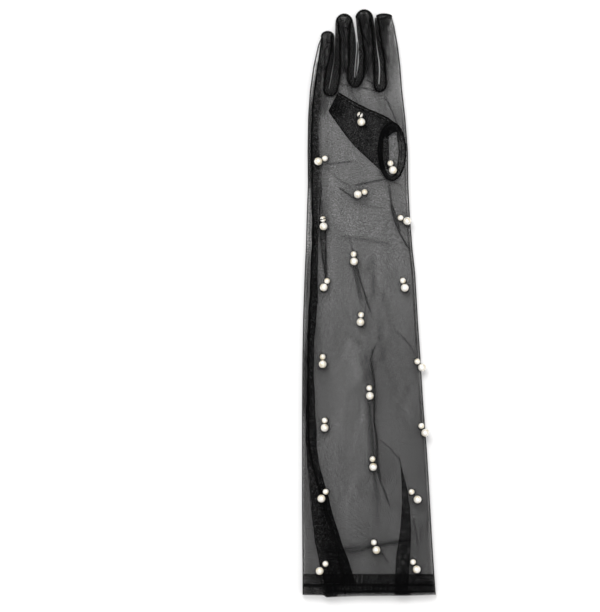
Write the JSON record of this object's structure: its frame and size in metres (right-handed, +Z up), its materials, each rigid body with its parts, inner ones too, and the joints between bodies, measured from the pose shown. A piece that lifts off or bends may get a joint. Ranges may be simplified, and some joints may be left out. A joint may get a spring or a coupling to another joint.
{
  "type": "long tulle glove",
  "caption": "Long sheer tulle evening glove for the left hand, lying flat, with finger gussets, a folded-under thumb, a turned hem and sewn-on pearl pairs.",
  "frame": {"origin": "centre of the bounding box's base, on the surface that the glove lies on", "axes": "+Y along the arm towards the fingertips, +X towards the index finger and thumb side, +Z up out of the back of the hand"},
  "size_m": [0.134, 0.586, 0.0222],
  "materials": {
    "tulle": "sheer black hexagonal net with a slight sheen",
    "seam_tulle": "the same net, folded double and stitched",
    "pearl": "glossy ivory pearl coating"
  },
  "bodies": {
    "root": {"trank": "tulle", "thumb": "tulle", "hem_band": "seam_tulle", "side_seam": "seam_tulle", "fourchette_little_ring": "seam_tulle", "fourchette_ring_middle": "seam_tulle", "fourchette_middle_index": "seam_tulle", "pearl_01": "pearl", "bead_01": "pearl", "pearl_02": "pearl", "bead_02": "pearl", "pearl_03": "pearl", "bead_03": "pearl", "pearl_04": "pearl", "bead_04": "pearl", "pearl_05": "pearl", "bead_05": "pearl", "pearl_06": "pearl", "bead_06": "pearl", "pearl_07": "pearl", "bead_07": "pearl", "pearl_08": "pearl", "bead_08": "pearl", "pearl_09": "pearl", "bead_09": "pearl", "pearl_10": "pearl", "bead_10": "pearl", "pearl_11": "pearl", "bead_11": "pearl", "pearl_12": "pearl", "bead_12": "pearl", "pearl_13": "pearl", "bead_13": "pearl", "pearl_14": "pearl", "bead_14": "pearl", "pearl_15": "pearl", "bead_15": "pearl", "pearl_16": "pearl", "bead_16": "pearl", "pearl_17": "pearl", "bead_17": "pearl", "pearl_18": "pearl", "bead_18": "pearl", "pearl_19": "pearl", "bead_19": "pearl", "pearl_20": "pearl", "bead_20": "pearl", "pearl_21": "pearl", "bead_21": "pearl"}
  },
  "joints": []
}
